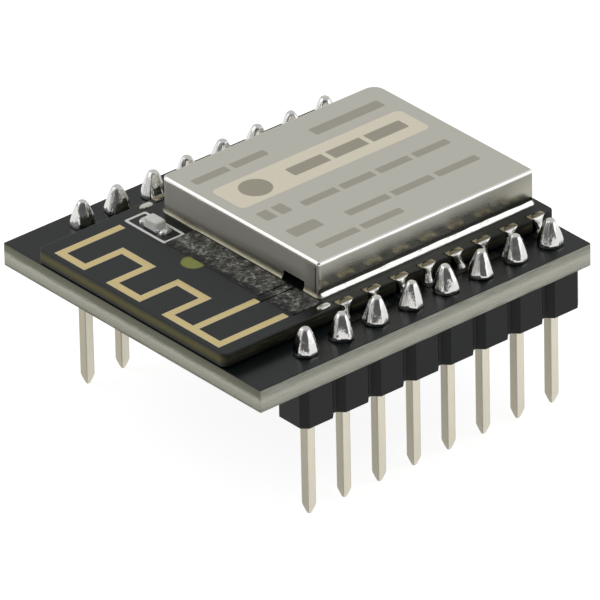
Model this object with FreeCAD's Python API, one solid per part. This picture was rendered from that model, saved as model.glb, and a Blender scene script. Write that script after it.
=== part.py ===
"""A wifi module soldered on a pin-header carrier board.

Lengths are millimetres. X runs along the module from the antenna end to the shield can end,
Y runs across it from the near pin row to the far one, and Z is up. The origin lies on the
surface that the pin tips stand on, under the centre of the carrier board.
"""
import FreeCAD, Part
import math
import os

# Pin headers
contact_count = 8
pin_pitch = 2.54
pin_width = 0.6
pin_tip_width = 0.25
pin_taper = 0.65
pin_below_block = 6.2
pin_above_carrier = 1.6
block_height = 2.54
block_width = 2.5
block_notch_depth = 0.39
block_notch_flat = 0.18

# Carrier board
carrier_thickness = 1.4
carrier_corner_radius = 0.1
carrier_side_margin = 0.225
header_margin_antenna_end = 3.24
header_margin_can_end = 0.44
pin_hole_clearance = 0.075
hole_facets = 12

# Solder round each pin
joint_land_ring = 0.18
joint_belly_ring = 0.04
joint_belly_height = 0.3
joint_skin = 0.19
joint_tip_skin = 0.1
joint_cap = 0.12
joint_cap_across = 0.3
joint_gap = 0.126

# Module board and its plated edge contacts
module_width = 16.0
module_thickness = 0.8
module_corner_radius = 0.6
copper = 0.04
solder_film = 0.06
contact_pitch = 2.0
contact_end_margin = 1.25
contact_antenna_margin = 8.75
contact_hole_radius = 0.4
contact_ring = 0.125
contact_inner_ring = 0.1
foot_spread = 0.22
foot_waist_height = 0.3
foot_waist_spread = 0.055
land_margin = 0.1
land_side_margin = 0.03

# Shield can
antenna_zone = 7.9
can_end_margin = 0.4
can_side_gap = 0.8
can_wall = 0.15
can_fold_radius = 0.2
can_corner_slit = 0.08
lid_clearance = 0.55
can_fillet_height = 0.25
can_fillet_width = 0.15
tab_length = 0.95
tab_width = 0.45
tab_height = 0.12
tab_slope = 0.1
tab_from_contact = 1.25
tab_from_edge = 0.2

# Antenna and the tinned ground beside the can
trace_width = 0.5
trace_end_gap = 0.37
trace_far_gap = 1.07
trace_near_gap = 0.87
meander_reach = 2.68
meander_count = 4
outer_arm_pitch = 2.08
ground_line_pitch = 2.28
free_arm_length = 4.42
feed_length = 4.62
ground_length = 4.73
ground_strip_width = 2.1
ground_strip_near_gap = 0.85
feed_side_gap = 0.12
feed_notch_width = 1.75
feed_notch_height = 0.55

# Status lamp beside the can
led_length = 1.6
led_width = 0.8
led_base_height = 0.3
led_lens_height = 0.3
led_lens_length = 1.1
led_lens_taper = 0.07
led_from_can = 1.55
led_from_edge = 2.58
led_solder_length = 0.42
led_solder_height = 0.22
led_clear_length = 3.5

# Parts under the can
radio_size = 5.0
radio_height = 0.85
radio_mark = 0.5
memory_length = 4.9
memory_width = 3.9
memory_height = 1.5
memory_standoff = 0.12
memory_lead_pitch = 1.27
memory_lead_width = 0.42
memory_lead_thickness = 0.2
memory_lead_reach = 1.05
memory_foot = 0.6
memory_lead_count = 4
crystal_length = 3.2
crystal_width = 2.5
crystal_base_height = 0.45
crystal_lid_height = 0.25
crystal_rim = 0.25
crystal_gap = 0.85
chip_gap = 1.1
capacitor_length = 1.0
capacitor_width = 0.5
capacitor_height = 0.5
capacitor_count = 8
capacitor_pitch = 1.45
resistor_height = 0.35
resistor_count = 4
inductor_length = 1.6
inductor_width = 0.8
inductor_height = 0.8
inner_margin = 0.7

# Heights of the stack
block_bottom = pin_below_block
carrier_bottom = block_bottom + block_height
carrier_top = carrier_bottom + carrier_thickness
land_top = carrier_top + copper
module_bottom = land_top + solder_film
module_top = module_bottom + module_thickness
copper_top = module_top + copper
can_height = memory_height + lid_clearance + can_wall
can_top = module_top + can_height
pin_top = carrier_top + pin_above_carrier

# Plan of the boards
header_length = contact_count * pin_pitch
board_length = header_margin_antenna_end + header_length + header_margin_can_end
half_length = board_length / 2
half_module = module_width / 2
pin_hole_diameter = pin_width * math.sqrt(2) + 2 * pin_hole_clearance
joint_base_across = pin_hole_diameter + 2 * joint_land_ring
foot_radius = contact_hole_radius + foot_spread
land_reach = foot_radius + land_margin
row_offset = half_module + land_reach + joint_base_across / 2 + joint_gap
carrier_width = 2 * row_offset + block_width + 2 * carrier_side_margin
block_start = -half_length + header_margin_antenna_end
pin_start = block_start + pin_pitch / 2
module_end = half_length
contact_start = module_end - contact_end_margin - (contact_count - 1) * contact_pitch
module_start = contact_start - contact_antenna_margin
pad_half_width = contact_hole_radius + contact_ring
pad_depth = contact_hole_radius + contact_inner_ring

# Plan of the can and the antenna
can_start = module_start + antenna_zone
can_end = module_end - can_end_margin
can_half_width = half_module - pad_depth - can_side_gap
can_centre = (can_start + can_end) / 2
column_left = module_start + trace_end_gap + trace_width / 2
column_right = column_left + meander_reach
free_arm_y = half_module - trace_far_gap - trace_width / 2
ground_line_y = -half_module + trace_near_gap + trace_width / 2
feed_y = ground_line_y + ground_line_pitch
meander_top = free_arm_y - outer_arm_pitch
meander_bottom = feed_y + outer_arm_pitch
meander_pitch = (meander_top - meander_bottom) / (meander_count - 1)
led_x = can_start - led_from_can
led_y = half_module - led_from_edge


def box(x0, x1, y0, y1, z0, z1):
    """Block between two opposite corners."""
    return Part.makeBox(x1 - x0, y1 - y0, z1 - z0, FreeCAD.Vector(x0, y0, z0))


def post(x, y, radius, z0, z1):
    """Upright cylinder."""
    return Part.makeCylinder(radius, z1 - z0, FreeCAD.Vector(x, y, z0))


def drilled(x, y, z0, z1):
    """Prism with many flat sides that fills the drilled and plated hole of a pin."""
    radius = pin_hole_diameter / 2
    turns = [2 * math.pi * index / hole_facets for index in range(hole_facets)]
    ring = [(x + radius * math.cos(turn), y + radius * math.sin(turn)) for turn in turns]
    return prismoid([(ring, z0), (ring, z1)])


def upright_edges(shape):
    """Edges that run straight along Z."""
    return [edge for edge in shape.Edges if edge.BoundBox.XLength + edge.BoundBox.YLength < 1e-6]


def plate(x0, x1, y0, y1, z0, z1, radius):
    """Board with rounded corners in plan."""
    slab = box(x0, x1, y0, y1, z0, z1)
    return slab.makeFillet(radius, upright_edges(slab))


def polygon(points, z):
    """Closed wire through points of a level plane."""
    corners = [FreeCAD.Vector(x, y, z) for x, y in points]
    return Part.makePolygon(corners + corners[:1])


def prismoid(sections):
    """Solid through a stack of level polygons whose matching sides are parallel, with flat flanks."""
    rings = [[FreeCAD.Vector(x, y, z) for x, y in points] for points, z in sections]
    faces = [Part.Face(Part.makePolygon(ring + ring[:1])) for ring in (rings[0], rings[-1])]
    for lower, upper in zip(rings, rings[1:]):
        for index in range(len(lower)):
            corners = [lower[index - 1], lower[index], upper[index], upper[index - 1]]
            faces.append(Part.Face(Part.makePolygon(corners + corners[:1])))
    solid = Part.Solid(Part.Shell(faces))
    if solid.Volume < 0:
        solid.reverse()
    return solid


def cut_square(x, y, across, cut):
    """Corners of a square centred on x, y, with its own corners cut off."""
    half = across / 2
    inner = half - cut
    quarter = [(half, -inner), (half, inner), (inner, half)]
    points = quarter + [(-inner, half), (-half, inner), (-half, -inner), (-inner, -half), (inner, -half)]
    return [(x + px, y + py) for px, py in points]


def half_octagon(x, y, radius):
    """Corners of the far half of an octagon about x, y that stands on its flat sides."""
    shoulder = radius * math.tan(math.pi / 8)
    return [(x + radius, y), (x + radius, y + shoulder), (x + shoulder, y + radius),
            (x - shoulder, y + radius), (x - radius, y + shoulder), (x - radius, y)]


def rectangle(x, y, length, width):
    """Corners of a rectangle centred on x, y."""
    signs = ((1, -1), (1, 1), (-1, 1), (-1, -1))
    return [(x + sx * length / 2, y + sy * width / 2) for sx, sy in signs]


def half_turn(shape):
    """The same shape on the other side of the board, turned about the Z axis."""
    turned = shape.copy()
    turned.rotate(FreeCAD.Vector(0, 0, 0), FreeCAD.Vector(0, 0, 1), 180)
    return turned


def moved(shape, x, y=0.0, z=0.0):
    """Copy of a shape shifted by x, y and z."""
    copy = shape.copy()
    copy.translate(FreeCAD.Vector(x, y, z))
    return copy


def pin_x(index):
    """Place along X of a pin, counted from the antenna end."""
    return pin_start + index * pin_pitch


def contact_x(index):
    """Place along X of an edge contact, counted from the antenna end."""
    return contact_start + index * contact_pitch


def header_pin(x, y):
    """Square pin with a tapered tip at each end."""
    stations = [
        (0.0, pin_tip_width),
        (pin_taper, pin_width),
        (pin_top - pin_taper, pin_width),
        (pin_top, pin_tip_width),
    ]
    return prismoid([(rectangle(x, y, side, side), z) for z, side in stations])


def header_block(y):
    """Moulded strip that carries one row of pins, notched between its segments."""
    front = []
    half = block_width / 2
    waist = half - block_notch_depth
    end = block_start + header_length
    front.append((block_start, -waist))
    front.append((block_start + block_notch_depth, -half))
    for index in range(1, contact_count):
        notch = block_start + index * pin_pitch
        front.append((notch - block_notch_flat / 2 - block_notch_depth, -half))
        front.append((notch - block_notch_flat / 2, -waist))
        front.append((notch + block_notch_flat / 2, -waist))
        front.append((notch + block_notch_flat / 2 + block_notch_depth, -half))
    front.append((end - block_notch_depth, -half))
    front.append((end, -waist))
    outline = front + [(x, -py) for x, py in reversed(front)]
    face = Part.Face(polygon([(x, y + py) for x, py in outline], block_bottom))
    strip = face.extrude(FreeCAD.Vector(0, 0, block_height))
    return strip.cut(Part.makeCompound([header_pin(pin_x(index), y) for index in range(contact_count)]))


def carrier_board():
    """Lower board, drilled for both rows of pins."""
    board = plate(
        -half_length, half_length, -carrier_width / 2, carrier_width / 2,
        carrier_bottom, carrier_top, carrier_corner_radius,
    )
    holes = [
        drilled(pin_x(index), row, carrier_bottom, carrier_top)
        for row in (-row_offset, row_offset)
        for index in range(contact_count)
    ]
    return board.cut(Part.makeCompound(holes))


def pin_joint(x, y):
    """Solder that fills the hole round a pin and climbs it as a blunt faceted cone."""
    octagon_cut = (1 - math.tan(math.pi / 8)) / 2
    corner_cut = octagon_cut / 2
    tip_across = pin_tip_width + 2 * joint_tip_skin
    stations = [
        (0.0, joint_base_across, octagon_cut),
        (joint_belly_height, joint_base_across + 2 * joint_belly_ring, octagon_cut),
        (pin_above_carrier - pin_taper, pin_width + 2 * joint_skin, corner_cut),
        (pin_above_carrier, tip_across, corner_cut),
        (pin_above_carrier + joint_cap, joint_cap_across, corner_cut),
    ]
    cone = prismoid([(cut_square(x, y, across, across * cut), carrier_top + z) for z, across, cut in stations])
    plug = drilled(x, y, carrier_bottom, carrier_top)
    return cone.fuse(plug).cut(header_pin(x, y)).removeSplitter()


def module_board():
    """Upper board with a row of half holes along each long edge."""
    board = plate(
        module_start, module_end, -half_module, half_module,
        module_bottom, module_top, module_corner_radius,
    )
    holes = [
        post(contact_x(index), edge, contact_hole_radius, module_bottom, module_top)
        for edge in (-half_module, half_module)
        for index in range(contact_count)
    ]
    return board.cut(Part.makeCompound(holes))


def edge_pad():
    """Copper pad on top of the module board round one half hole of the far edge at x = 0."""
    pad = box(-pad_half_width, pad_half_width, half_module - pad_depth, half_module, module_top, copper_top)
    return pad.cut(post(0, half_module, contact_hole_radius, module_top, copper_top))


def carrier_land():
    """Copper land on the carrier board under one contact of the far edge at x = 0."""
    reach = foot_radius + land_side_margin
    return box(-reach, reach, half_module - pad_depth, half_module + land_reach, carrier_top, land_top)


def edge_solder():
    """Solder of one contact of the far edge at x = 0.

    It fills the half hole, runs under the board as a film, and flares outwards to the land.
    """
    crest = contact_hole_radius
    waist = contact_hole_radius + foot_waist_spread
    stations = [(land_top, foot_radius), (land_top + foot_waist_height, waist), (copper_top, crest)]
    flare = prismoid([(half_octagon(0, half_module, radius), z) for z, radius in stations])
    fill = post(0, half_module, crest, land_top, copper_top)
    fill = fill.common(box(-crest, crest, half_module - crest, half_module, land_top, copper_top))
    film = box(
        -pad_half_width, pad_half_width, half_module - pad_depth, half_module, land_top, module_bottom,
    )
    return flare.fuse([fill, film]).removeSplitter()


def far_row(shape):
    """One copy of a far-edge piece at each contact."""
    return [moved(shape, contact_x(index)) for index in range(contact_count)]


def near_row(shape):
    """One copy of a far-edge piece at each contact of the near edge, turned to face it."""
    return [moved(half_turn(shape), contact_x(index)) for index in range(contact_count)]


def trace(points):
    """Copper track with square corners along straight runs of a centre line."""
    half = trace_width / 2
    runs = []
    for (x0, y0), (x1, y1) in zip(points, points[1:]):
        runs.append(box(
            min(x0, x1) - half, max(x0, x1) + half,
            min(y0, y1) - half, max(y0, y1) + half,
            module_top, copper_top,
        ))
    return runs


def antenna_trace():
    """Folded antenna on the module's top, with its feed and ground lines."""
    half = trace_width / 2
    path = [(column_left + free_arm_length - half, free_arm_y), (column_left, free_arm_y)]
    side = column_left
    for turn in range(meander_count):
        y = meander_top - turn * meander_pitch
        path.append((side, y))
        side = column_right if side == column_left else column_left
        path.append((side, y))
    path.append((side, ground_line_y))
    path.append((side + ground_length - half, ground_line_y))
    runs = trace(path)
    runs += trace([(side, feed_y), (side + feed_length - half, feed_y)])
    return runs[0].fuse(runs[1:]).removeSplitter()


def ground_strip():
    """Tinned copper beside the can: ground on both sides of the feed line, and the line itself."""
    right = can_start - can_fillet_width
    left = right - ground_strip_width
    feed_half = trace_width / 2
    far_end = led_y - led_clear_length / 2
    near_end = -half_module + ground_strip_near_gap
    feed_start = column_left + feed_length
    upper = box(left, right, feed_y + feed_half + feed_side_gap, far_end, module_top, copper_top)
    ground_end = max(left, column_left + ground_length + feed_side_gap)
    lower = box(ground_end, right, near_end, feed_y - feed_half - feed_side_gap, module_top, copper_top)
    feed = box(feed_start, right, feed_y - feed_half, feed_y + feed_half, module_top, copper_top)
    return [upper, lower, feed]


def shield_can():
    """Folded sheet cover with four walls, a slit at each corner and a notch for the feed line."""
    outer = box(can_start, can_end, -can_half_width, can_half_width, module_top, can_top)
    upper = [edge for edge in outer.Edges if edge.BoundBox.ZMin > can_top - can_wall]
    outer = outer.makeFillet(can_fold_radius, upper + upright_edges(outer))
    inner = box(
        can_start + can_wall, can_end - can_wall, -can_half_width + can_wall, can_half_width - can_wall,
        module_top, can_top - can_wall,
    )
    cuts = [inner]
    slit_top = can_top - can_fold_radius - can_wall
    slit_inner = can_half_width - can_fold_radius
    for x in (can_start, can_end - can_wall):
        for y in (slit_inner - can_corner_slit, -slit_inner):
            cuts.append(box(x, x + can_wall, y, y + can_corner_slit, module_top, slit_top))
    notch_half = feed_notch_width / 2
    cuts.append(box(
        can_start, can_start + can_wall, feed_y - notch_half, feed_y + notch_half,
        module_top, module_top + feed_notch_height,
    ))
    return outer.cut(Part.makeCompound(cuts))


def can_solder():
    """Sloped solder round the foot of the can, open at the feed notch, and a dot beside each antenna-end corner."""
    skirt = box(
        can_start - can_fillet_width, can_end + can_fillet_width,
        -can_half_width - can_fillet_width, can_half_width + can_fillet_width,
        module_top, module_top + can_fillet_height,
    )
    rim = [edge for edge in skirt.Edges if edge.BoundBox.ZMin > module_top + can_fillet_height / 2]
    skirt = skirt.makeChamfer(can_fillet_height - copper, can_fillet_width - copper / 2, rim)
    footprint = box(can_start, can_end, -can_half_width, can_half_width, module_top, can_top)
    notch = box(
        can_start - can_fillet_width, can_start + can_fold_radius,
        feed_y - feed_notch_width / 2, feed_y + feed_notch_width / 2,
        module_top, module_top + feed_notch_height,
    )
    ring = skirt.cut(footprint).cut(notch)
    dots = []
    for side in (-1, 1):
        x = contact_x(0) - tab_from_contact
        y = side * (half_module - tab_from_edge - tab_width / 2)
        levels = ((module_top, 0.0), (module_top + copper, 0.0), (module_top + tab_height, tab_slope))
        dots.append(prismoid([
            (rectangle(x, y, tab_length - 2 * inset, tab_width - 2 * inset), z) for z, inset in levels
        ]))
    return ring.Solids + dots


def status_led():
    """Surface-mount lamp: a flat base and a lens that narrows upwards."""
    base = box(
        led_x - led_width / 2, led_x + led_width / 2, led_y - led_length / 2, led_y + led_length / 2,
        module_top, module_top + led_base_height,
    )
    levels = ((led_base_height, 0.0), (led_base_height + led_lens_height, led_lens_taper))
    sections = []
    for height, inset in levels:
        corners = rectangle(led_x, led_y, led_width - 2 * inset, led_lens_length - 2 * inset)
        sections.append((corners, module_top + height))
    return base.fuse(prismoid(sections))


def led_solder():
    """Wedge of solder at each end of the lamp."""
    wedges = []
    for side in (-1, 1):
        start = led_y + side * led_length / 2
        tip = start + side * led_solder_length
        profile = [(start, module_top), (tip, module_top), (tip, copper_top), (start, module_top + led_solder_height)]
        corners = [FreeCAD.Vector(led_x - led_width / 2, y, z) for y, z in profile]
        face = Part.Face(Part.makePolygon(corners + corners[:1]))
        wedges.append(face.extrude(FreeCAD.Vector(led_width, 0, 0)))
    return wedges


def wifi_chip(x, y):
    """Flat square radio chip with a cut first corner."""
    half = radio_size / 2
    outline = [(-half, -half), (half, -half), (half, half), (-half + radio_mark, half), (-half, half - radio_mark)]
    face = Part.Face(polygon([(x + px, y + py) for px, py in outline], module_top))
    return face.extrude(FreeCAD.Vector(0, 0, radio_height))


def flash_chip(x, y):
    """Memory chip with bent leads along two sides."""
    base = module_top + memory_standoff
    body = box(
        x - memory_length / 2, x + memory_length / 2, y - memory_width / 2, y + memory_width / 2,
        base, module_top + memory_height,
    )
    sheet = memory_lead_thickness
    middle = (memory_standoff + memory_height) / 2
    knee = memory_lead_reach - memory_foot
    leads = []
    for side in (-1, 1):
        root = y + side * memory_width / 2
        profile = [
            (0.0, middle), (knee, middle), (knee, sheet), (memory_lead_reach, sheet), (memory_lead_reach, 0.0),
            (knee - sheet, 0.0), (knee - sheet, middle - sheet), (0.0, middle - sheet),
        ]
        for index in range(memory_lead_count):
            centre = x + (index - (memory_lead_count - 1) / 2) * memory_lead_pitch
            corners = [
                FreeCAD.Vector(centre - memory_lead_width / 2, root + side * out, module_top + z)
                for out, z in profile
            ]
            face = Part.Face(Part.makePolygon(corners + corners[:1]))
            leads.append(face.extrude(FreeCAD.Vector(memory_lead_width, 0, 0)))
    return body.fuse(leads).removeSplitter()


def crystal(x, y):
    """Clock crystal: a ceramic tray under a smaller metal lid."""
    half_long = crystal_length / 2
    half_width = crystal_width / 2
    lid_base = module_top + crystal_base_height
    tray = box(x - half_long, x + half_long, y - half_width, y + half_width, module_top, lid_base)
    lid = box(
        x - half_long + crystal_rim, x + half_long - crystal_rim,
        y - half_width + crystal_rim, y + half_width - crystal_rim,
        lid_base, lid_base + crystal_lid_height,
    )
    return tray.fuse(lid)


def chip_row(x, y, pitch, count, length, width, height):
    """Row of small end-capped parts, each lying along Y."""
    return [
        box(x + i * pitch - width / 2, x + i * pitch + width / 2, y - length / 2, y + length / 2,
            module_top, module_top + height)
        for i in range(count)
    ]


def save(name, shapes):
    """Write one node to its STEP file, as one solid or a group of separate ones."""
    solids = [solid for shape in shapes for solid in shape.Solids]
    shape = solids[0] if len(solids) == 1 else Part.makeCompound(solids)
    shape.exportStep(os.path.join("parts", name + ".step"))


os.makedirs("parts", exist_ok=True)

save("carrier_board", [carrier_board()])
save("module_board", [module_board()])
for row_name, row_y in (("near", -row_offset), ("far", row_offset)):
    save("header_block_" + row_name, [header_block(row_y)])
    for number in range(contact_count):
        label = row_name + "_" + str(number + 1)
        save("header_pin_" + label, [header_pin(pin_x(number), row_y)])
        save("pin_solder_" + label, [pin_joint(pin_x(number), row_y)])

pad = edge_pad()
land = carrier_land()
joint = edge_solder()
save("module_edge_pads", near_row(pad) + far_row(pad))
save("carrier_lands", near_row(land) + far_row(land))
save("edge_solder_near", near_row(joint))
save("edge_solder_far", far_row(joint))

save("antenna_trace", [antenna_trace()])
save("ground_strip", ground_strip())
save("shield_can", [shield_can()])
save("can_solder", can_solder())
save("status_led", [status_led()])
save("led_solder", led_solder())

radio_x = can_centre - radio_size / 2 - chip_gap / 2
memory_x = can_centre + memory_length / 2 + chip_gap / 2
crystal_y = can_half_width - can_wall - inner_margin - crystal_width / 2
chips_y = crystal_y - crystal_width / 2 - crystal_gap - radio_size / 2
capacitor_y = -can_half_width + can_wall + inner_margin + capacitor_length / 2
row_end = can_end - can_wall - inner_margin
capacitor_x = row_end - (capacitor_count - 1) * capacitor_pitch
resistor_x = row_end - (resistor_count - 1) * capacitor_pitch
inductor_x = can_start + can_wall + inner_margin + inductor_width / 2
save("wifi_chip", [wifi_chip(radio_x, chips_y)])
save("flash_chip", [flash_chip(memory_x, chips_y)])
save("crystal", [crystal(radio_x, crystal_y)])
save("capacitors", chip_row(
    capacitor_x, capacitor_y, capacitor_pitch, capacitor_count,
    capacitor_length, capacitor_width, capacitor_height,
))
save("resistors", chip_row(
    resistor_x, -capacitor_y, capacitor_pitch, resistor_count,
    capacitor_length, capacitor_width, resistor_height,
))
save("rf_inductor", chip_row(
    inductor_x, feed_y, capacitor_pitch, 1, inductor_length, inductor_width, inductor_height,
))
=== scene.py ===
# %% [markdown]
# # A wifi module on a pin-header carrier
#
# The part arrives as measured solids. This lesson gives every surface its finish, and puts
# softer meshes in the place of the solids whose real form is round, rippled or folded.
# First the imported solids are loaded.

# %% Load the frame
import math
import bpy
import numpy as np
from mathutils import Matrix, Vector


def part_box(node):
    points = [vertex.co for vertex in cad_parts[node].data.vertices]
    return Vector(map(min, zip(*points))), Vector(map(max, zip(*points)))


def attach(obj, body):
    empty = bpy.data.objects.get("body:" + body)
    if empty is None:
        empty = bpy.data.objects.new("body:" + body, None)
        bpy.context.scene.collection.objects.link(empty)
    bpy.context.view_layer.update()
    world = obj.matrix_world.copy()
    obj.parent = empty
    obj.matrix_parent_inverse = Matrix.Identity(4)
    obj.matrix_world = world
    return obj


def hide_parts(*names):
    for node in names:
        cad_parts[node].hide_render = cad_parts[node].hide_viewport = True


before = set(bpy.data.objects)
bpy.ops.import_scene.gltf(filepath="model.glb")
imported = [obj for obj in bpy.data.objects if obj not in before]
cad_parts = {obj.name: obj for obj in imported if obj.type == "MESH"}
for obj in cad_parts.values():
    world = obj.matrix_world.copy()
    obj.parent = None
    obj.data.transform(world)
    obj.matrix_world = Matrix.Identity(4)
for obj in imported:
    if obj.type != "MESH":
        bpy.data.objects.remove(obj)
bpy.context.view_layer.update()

print("nodes loaded:", len(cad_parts))

# %% [markdown]
# Every size below is written in millimetres, because that is how a board is drawn, and is
# turned into metres when a mesh is made. A piece takes its place from the box of the solid
# that it dresses, so nothing has to be fitted by eye.

# %% Sizes read from the frame
MM = 0.001


def limits(node):
    """Lowest and highest corner of a solid, in millimetres."""
    low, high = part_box(node)
    return np.array(low) / MM, np.array(high) / MM


carrier_low, carrier_high = limits("carrier_board")
module_low, module_high = limits("module_board")
can_low, can_high = limits("shield_can")
strip_low, strip_high = limits("ground_strip")
carrier_top = carrier_high[2]
module_top = module_high[2]
rows = ("near", "far")
pins_per_row = sum(name.startswith("header_pin_near_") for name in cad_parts)
feed_y = -4.6
print("carrier", (carrier_high - carrier_low).round(2), "can", (can_high - can_low).round(2))

# %% [markdown]
# ## Wiring shader nodes as sums
#
# A shader tree is easier to read as a formula than as a web of links. The small class below
# wraps one socket. Adding, subtracting, multiplying or dividing two of them makes the Math
# node that does it, and the reflected forms let a plain number stand on the left.

# %% A socket that can be used in a sum


class Wire:
    """One output of a node, which adds Math nodes when it is used in an expression."""

    def __init__(self, formulas, socket):
        self.formulas = formulas
        self.socket = socket

    def __add__(self, other):
        return self.formulas.math("ADD", self, other)

    def __sub__(self, other):
        return self.formulas.math("SUBTRACT", self, other)

    def __rsub__(self, other):
        return self.formulas.math("SUBTRACT", other, self)

    def __mul__(self, other):
        return self.formulas.math("MULTIPLY", self, other)

    def __truediv__(self, other):
        return self.formulas.math("DIVIDE", self, other)

    def __abs__(self):
        return self.formulas.math("ABSOLUTE", self)

    __radd__ = __add__
    __rmul__ = __mul__


print("sockets can be summed")

# %% [markdown]
# Materials and the surroundings both have such a tree. One method makes any node of it from
# its type, its settings and what goes into its sockets, and short names stand for the maths
# and the blends that are used all the time.

# %% A node tree written as formulas


class Formulas:
    """A node tree, and the methods that add to it."""

    def __init__(self, tree):
        self.tree = tree

    def node(self, kind, settings=None, inputs=None, pick=0):
        """Output `pick` of a new node, after its settings and then its sockets are filled."""
        made = self.tree.nodes.new(kind)
        for name, value in (settings or {}).items():
            if name == "stops":
                self.set_stops(made.color_ramp.elements, value)
            else:
                setattr(made, name, value)
        for name, value in (inputs or {}).items():
            self.fill(made.inputs[name], value)
        return Wire(self, made.outputs[pick])

    def set_stops(self, elements, stops):
        """Fill a colour ramp with stops of (position, colour)."""
        while len(elements) < len(stops):
            elements.new(1.0)
        for element, (position, colour) in zip(elements, stops):
            element.position = position
            element.color = (*colour, 1.0)

    def fill(self, socket, value):
        """Link a wire to a socket, or set the socket to a plain value."""
        if isinstance(value, Wire):
            self.tree.links.new(value.socket, socket)
        elif isinstance(value, (tuple, list)) and len(value) == 3 and socket.type == "RGBA":
            socket.default_value = (*value, 1.0)
        else:
            socket.default_value = value

    def math(self, operation, *values, clamp=False):
        """One Math node on wires or numbers."""
        settings = {"operation": operation, "use_clamp": clamp}
        return self.node("ShaderNodeMath", settings, dict(enumerate(values)))

    def soft_step(self, value):
        """0 below nought, 1 above one, and the value between."""
        return self.math("MULTIPLY", value, 1.0, clamp=True)

    def mix(self, share, first, second):
        """Colour that goes from first to second as share goes from 0 to 1."""
        settings = {"data_type": "RGBA", "clamp_factor": True}
        return self.node("ShaderNodeMix", settings, {0: share, 6: first, 7: second}, pick=2)

    def ramp(self, value, stops):
        """Colour read from stops of (position, colour)."""
        return self.node("ShaderNodeValToRGB", {"stops": stops}, {"Fac": value}, pick="Color")


print("formulas ready")

# %% [markdown]
# A material is then a `Paint`: a tree of formulas on coordinates in millimetres, with the
# patterns that this object needs. Clouds of noise give stains and grain, cells give pits,
# and a rounded rectangle gives every printed mark. What a face looks towards tells the top
# of a piece from its sides, so one finish can dress both.

# %% A material that is built by formulas


class Paint(Formulas):
    """A material whose tree is written as expressions on millimetre coordinates."""

    def __init__(self, name, **uniform):
        self.material = bpy.data.materials.new(name)
        self.material.use_nodes = True
        super().__init__(self.material.node_tree)
        self.shader = self.tree.nodes["Principled BSDF"]
        for socket, value in uniform.items():
            self.shader.inputs[socket.replace("_", " ")].default_value = value
        metres = self.node("ShaderNodeTexCoord", pick="Object")
        scaling = {"operation": "SCALE"}
        self.place = self.node("ShaderNodeVectorMath", scaling, {0: metres, "Scale": 1 / MM})
        self.x, self.y, self.z = (self.part(self.place, axis) for axis in "XYZ")

    def part(self, vector, axis):
        """One of a vector's three numbers."""
        return self.node("ShaderNodeSeparateXYZ", inputs={0: vector}, pick=axis)

    def facing(self, axis):
        """How squarely a face looks along an axis: 1 along it, 0 across it, -1 the other way."""
        return self.part(self.node("ShaderNodeNewGeometry", pick="Normal"), axis)

    def noise(self, scale, detail=2.0, stretch=(1.0, 1.0, 1.0), roughness=0.5):
        """Cloudy value from 0 to 1, with `scale` lumps to a millimetre."""
        product = {"operation": "MULTIPLY"}
        vector = self.node("ShaderNodeVectorMath", product, {0: self.place, 1: stretch})
        values = {"Vector": vector, "Scale": scale, "Detail": detail, "Roughness": roughness}
        return self.node("ShaderNodeTexNoise", inputs=values, pick="Fac")

    def cells(self, scale):
        """Distance on the XY plane to the nearest of scattered points, `scale` to a millimetre."""
        values = {"Vector": self.place, "Scale": scale}
        return self.node("ShaderNodeTexVoronoi", {"voronoi_dimensions": "2D"}, values, pick="Distance")

    def patch(self, centre, half, radius, soft=0.03):
        """1 inside a rounded rectangle on the XY plane, 0 outside, from its signed distance."""
        across = self.math("MAXIMUM", abs(self.x - centre[0]) - (half[0] - radius), 0.0)
        along = self.math("MAXIMUM", abs(self.y - centre[1]) - (half[1] - radius), 0.0)
        distance = self.math("SQRT", across * across + along * along) - radius
        return self.soft_step(0.5 - distance / soft)

    def disc(self, shape, soft):
        """1 inside a disc, which is a rounded rectangle with nothing but its corners."""
        return self.patch(shape["centre"], (shape["radius"],) * 2, shape["radius"], soft)

    def bump(self, height, depth, strength=1.0):
        """Normal bent by a height from 0 to 1 that stands for `depth` millimetres."""
        values = {"Height": height, "Distance": depth * MM, "Strength": strength}
        return self.node("ShaderNodeBump", inputs=values, pick="Normal")

    def use(self, **channels):
        """Link what varies to the shader's own sockets, and return the material."""
        for name, value in channels.items():
            self.fill(self.shader.inputs[name.replace("_", " ")], value)
        return self.material


print("material helpers ready")

# %% [markdown]
# ## Colours
#
# Screens show colours on a curved scale, but a renderer adds light on a straight one. The helper turns a
# colour given in screen values into the straight values that shaders use.

# %% Colours from screen values


def seen(red, green, blue):
    """Linear colour from screen values of 0 to 255: ((c + 0.055) / 1.055) to the power 2.4."""
    screen = np.array([red, green, blue]) / 255.0
    linear = np.where(screen > 0.04045, ((screen + 0.055) / 1.055) ** 2.4, screen / 12.92)
    return tuple(float(value) for value in linear)


lacquer_dark = seen(12, 18, 18)
lacquer_light = seen(18, 25, 25)
carrier_layers = [
    (0.0, seen(62, 62, 48)), (0.07, seen(128, 128, 106)), (0.2, seen(224, 223, 204)),
    (0.5, seen(242, 241, 224)), (0.66, seen(154, 155, 134)), (1.0, seen(130, 132, 108)),
]
# The lowest layers are near black: a painted shadow of the gap under the module.
module_layers_with_gap_shadow = [
    (0.0, seen(10, 10, 9)), (0.2, seen(20, 20, 14)), (0.4, seen(102, 97, 54)),
    (0.62, seen(116, 112, 66)), (0.85, seen(70, 70, 48)), (1.0, seen(52, 54, 44)),
]
pin_gold = seen(255, 250, 232)
tin_bright = seen(245, 245, 243)
trace_colour = seen(255, 235, 173)
can_colour = seen(227, 225, 213)
print("lacquer", np.round(lacquer_dark, 3))

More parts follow.
